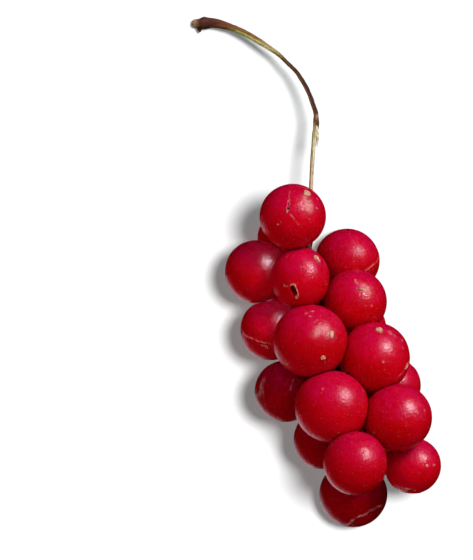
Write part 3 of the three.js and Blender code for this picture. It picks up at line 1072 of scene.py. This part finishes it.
class SCHISANDRA_OT_stalk(bpy.types.Operator):
    """Sweep the stalk from the receptacle to its picked end, with its torn bark"""

    bl_idname = "schisandra.stalk"
    bl_label = "Stalk"

    def execute(self, context):
        settings = context.scene.schisandra_stalk
        tree = stalk_tree()
        downward = unit(receptacle_point(STALK_FOOT / 2) - RECEPTACLE_TOP)
        foot = RECEPTACLE_TOP + downward * STALK_FOOT
        points, distances = smooth_line(np.vstack([foot, RECEPTACLE_TOP, STALK_ROUTE]), STALK_STEPS)
        knots, widths = zip(*STALK_PROFILE)
        curve = new_curve("stalk_line")
        add_line(curve, points, np.interp(distances - STALK_FOOT, knots, widths) / 2)
        values = {"Sides": settings.sides, "Ridges": settings.ridges,
                  "Ridge depth": settings.ridge_depth, "Twist": settings.twist,
                  "Lump height": 0.09 * MM, "Lump size": 0.7 * MM, "Finish": stalk_bark()}
        settle(grow("stalk", curve, tree, values), "stem_bark", "stem")

        bark = plain_fibre("torn_bark", settings.bark_colour, BARK_DARK, 0.4)
        fibre = plain_fibre("torn_fibre", settings.pale_colour, FIBRE_DARK, 0.5)
        torn = (("bark_slivers", BARK_SLIVERS, bark), ("torn_fibres", TORN_FIBRES, fibre))
        for name, bits, finish in torn:
            lines = new_curve(name + "_lines")
            for places, thickness in bits:
                points, distances = smooth_line(np.array(places), TORN_STEPS)
                knots = np.linspace(0, distances[-1], len(thickness))
                add_line(lines, points, np.interp(distances, knots, thickness) / 2)
            shape = values | {"Sides": 12, "Ridges": 3, "Ridge depth": 0.2, "Finish": finish}
            settle(grow(name, lines, tree, shape), "stem_bark")
        return {"FINISHED"}


# Lights
def hang_light(name, heading, width, power, lit):
    """A soft round light from this direction that lights only the things listed."""
    data = bpy.data.lights.new(name, "AREA")
    data.shape = "DISK"
    data.size = width
    data.energy = power
    light = bpy.data.objects.new(name, data)
    toward = Vector(heading).normalized()
    light.location = toward * LIGHT_DISTANCE
    light.rotation_euler = toward.to_track_quat("Z", "Y").to_euler()
    light.visible_camera = False
    bpy.context.scene.collection.objects.link(light)
    group = bpy.data.collections.new(name + " lights")
    for item in lit:
        group.objects.link(item)
    light.light_linking.receiver_collection = group
    return light


def even_light(name, heading, width, power, lit):
    """A light that colours and shades, and is not seen in gloss."""
    light = hang_light(name, heading, width, power, lit)
    light.visible_glossy = False
    light.data.cycles.use_multiple_importance_sampling = False
    return light


def gloss_light(name, heading, width, power, lit):
    """A light that is only seen in gloss."""
    light = hang_light(name, heading, width, power, lit)
    light.visible_diffuse = False
    light.data.color = GLINT_COLOUR
    return light


def pass_floor(light):
    """Lets a light from below through the floor."""
    light.light_linking.blocker_collection = light.light_linking.receiver_collection


class SCHISANDRA_OT_stage(bpy.types.Operator):
    """Set out the floor, the soft light and the camera looking straight down"""

    bl_idname = "schisandra.stage"
    bl_label = "Stage"

    def execute(self, context):
        settings = context.scene.schisandra_stage
        bunch = [item for item in context.scene.objects if item.type == "MESH"]
        floor = self.lay_floor(context, settings)
        self.hang_lights(context, settings, bunch, floor)
        self.set_camera(context, settings)
        return {"FINISHED"}

    def lay_floor(self, context, settings):
        """A flat floor that throws no light on the bunch."""
        half = settings.floor_size / 2
        mesh = bpy.data.meshes.new("floor")
        corners = [(-half, -half, 0), (half, -half, 0), (half, half, 0), (-half, half, 0)]
        mesh.from_pydata(corners, [], [(0, 1, 2, 3)])
        mesh.materials.append(floor_paper(settings))
        floor = bpy.data.objects.new("floor", mesh)
        floor.visible_diffuse = False
        floor.visible_glossy = False
        context.scene.collection.objects.link(floor)
        return floor

    def hang_lights(self, context, settings, bunch, floor):
        """Lights for the bunch and the floor, each on its own, and a pale backdrop."""
        sheltered = [item for item in bunch if item.name in SHELTERED]
        even_light("key", KEY_DIRECTION, KEY_WIDTH, settings.key_power, bunch)
        even_light("sky", (0, 0, 1), SKY_WIDTH, settings.sky_power, bunch)
        bounce = even_light("bounce", BOUNCE_DIRECTION, SKY_WIDTH, settings.bounce_power, bunch)
        pass_floor(bounce)
        low_key = even_light("low key", KEY_DIRECTION, KEY_WIDTH, settings.low_key_power, sheltered)
        low_key.data.use_shadow = False
        even_light("floor light", TOP_DIRECTION, TOP_WIDTH, settings.top_power, [floor])
        floor_fill = even_light("floor fill", (0, 0, 1), TOP_WIDTH, settings.fill_power, [floor])
        floor_fill.data.use_shadow = False
        floor_fill.data.color = FILL_COLOUR
        gloss_light("glint", GLINT_DIRECTION, GLINT_WIDTH, settings.glint_power, bunch)
        low_glint = gloss_light("low glint", GLINT_DIRECTION, GLINT_WIDTH, settings.low_glint_power,
                                sheltered)
        low_glint.data.use_shadow = False
        rim = gloss_light("rim", RIM_DIRECTION, RIM_WIDTH, settings.rim_power, bunch)
        pass_floor(rim)

        world = bpy.data.worlds.new("studio")
        world.use_nodes = True
        tree = world.node_tree
        tree.nodes.clear()
        seen = add_node(tree, "ShaderNodeLightPath").outputs["Is Camera Ray"]
        pale = add_node(tree, "ShaderNodeBackground", {"Color": BACKDROP_COLOUR, "Strength": seen})
        add_node(tree, "ShaderNodeOutputWorld", {"Surface": pale.outputs[0]})
        context.scene.world = world
        context.scene.view_settings.view_transform = "Standard"

    def set_camera(self, context, settings):
        """A long lens straight above, framed as the picture is."""
        data = bpy.data.cameras.new("camera")
        data.sensor_width = SENSOR_WIDTH
        seen_height = PICTURE_HEIGHT / PICTURE_SCALE * MM
        data.lens = SENSOR_WIDTH * settings.camera_height / seen_height
        camera = bpy.data.objects.new("camera", data)
        height = RECEPTACLE_TOP[2] * MM + settings.camera_height
        camera.location = (PICTURE_CENTRE[0] * MM, PICTURE_CENTRE[1] * MM, height)
        context.scene.collection.objects.link(camera)
        context.scene.camera = camera


class SCHISANDRA_PT_panel(bpy.types.Panel):
    """Lists the steps and settings of the bunch"""

    bl_idname = "SCHISANDRA_PT_panel"
    bl_label = "Schisandra berry bunch"
    bl_space_type = "VIEW_3D"
    bl_region_type = "UI"
    bl_category = "Berry bunch"

    def draw(self, context):
        for operator in OPERATORS:
            self.layout.operator(operator.bl_idname)
        for group in (context.scene.schisandra_berries, context.scene.schisandra_stalk,
                      context.scene.schisandra_stage):
            box = self.layout.box()
            for name in group.__annotations__:
                box.prop(group, name)


OPERATORS = (SCHISANDRA_OT_berries, SCHISANDRA_OT_receptacle, SCHISANDRA_OT_stalk, SCHISANDRA_OT_stage)
SETTINGS = {"schisandra_berries": BerrySettings, "schisandra_stalk": StalkSettings,
            "schisandra_stage": StageSettings}
CLASSES = (*SETTINGS.values(), *OPERATORS, SCHISANDRA_PT_panel)


def register():
    for item in CLASSES:
        bpy.utils.register_class(item)
    for name, group in SETTINGS.items():
        setattr(bpy.types.Scene, name, bpy.props.PointerProperty(type=group))


def unregister():
    for name in SETTINGS:
        delattr(bpy.types.Scene, name)
    for item in reversed(CLASSES):
        bpy.utils.unregister_class(item)


def main():
    register()
    bpy.ops.schisandra.berries()
    bpy.ops.schisandra.receptacle()
    bpy.ops.schisandra.stalk()
    bpy.ops.schisandra.stage()


if __name__ == "__main__":
    main()
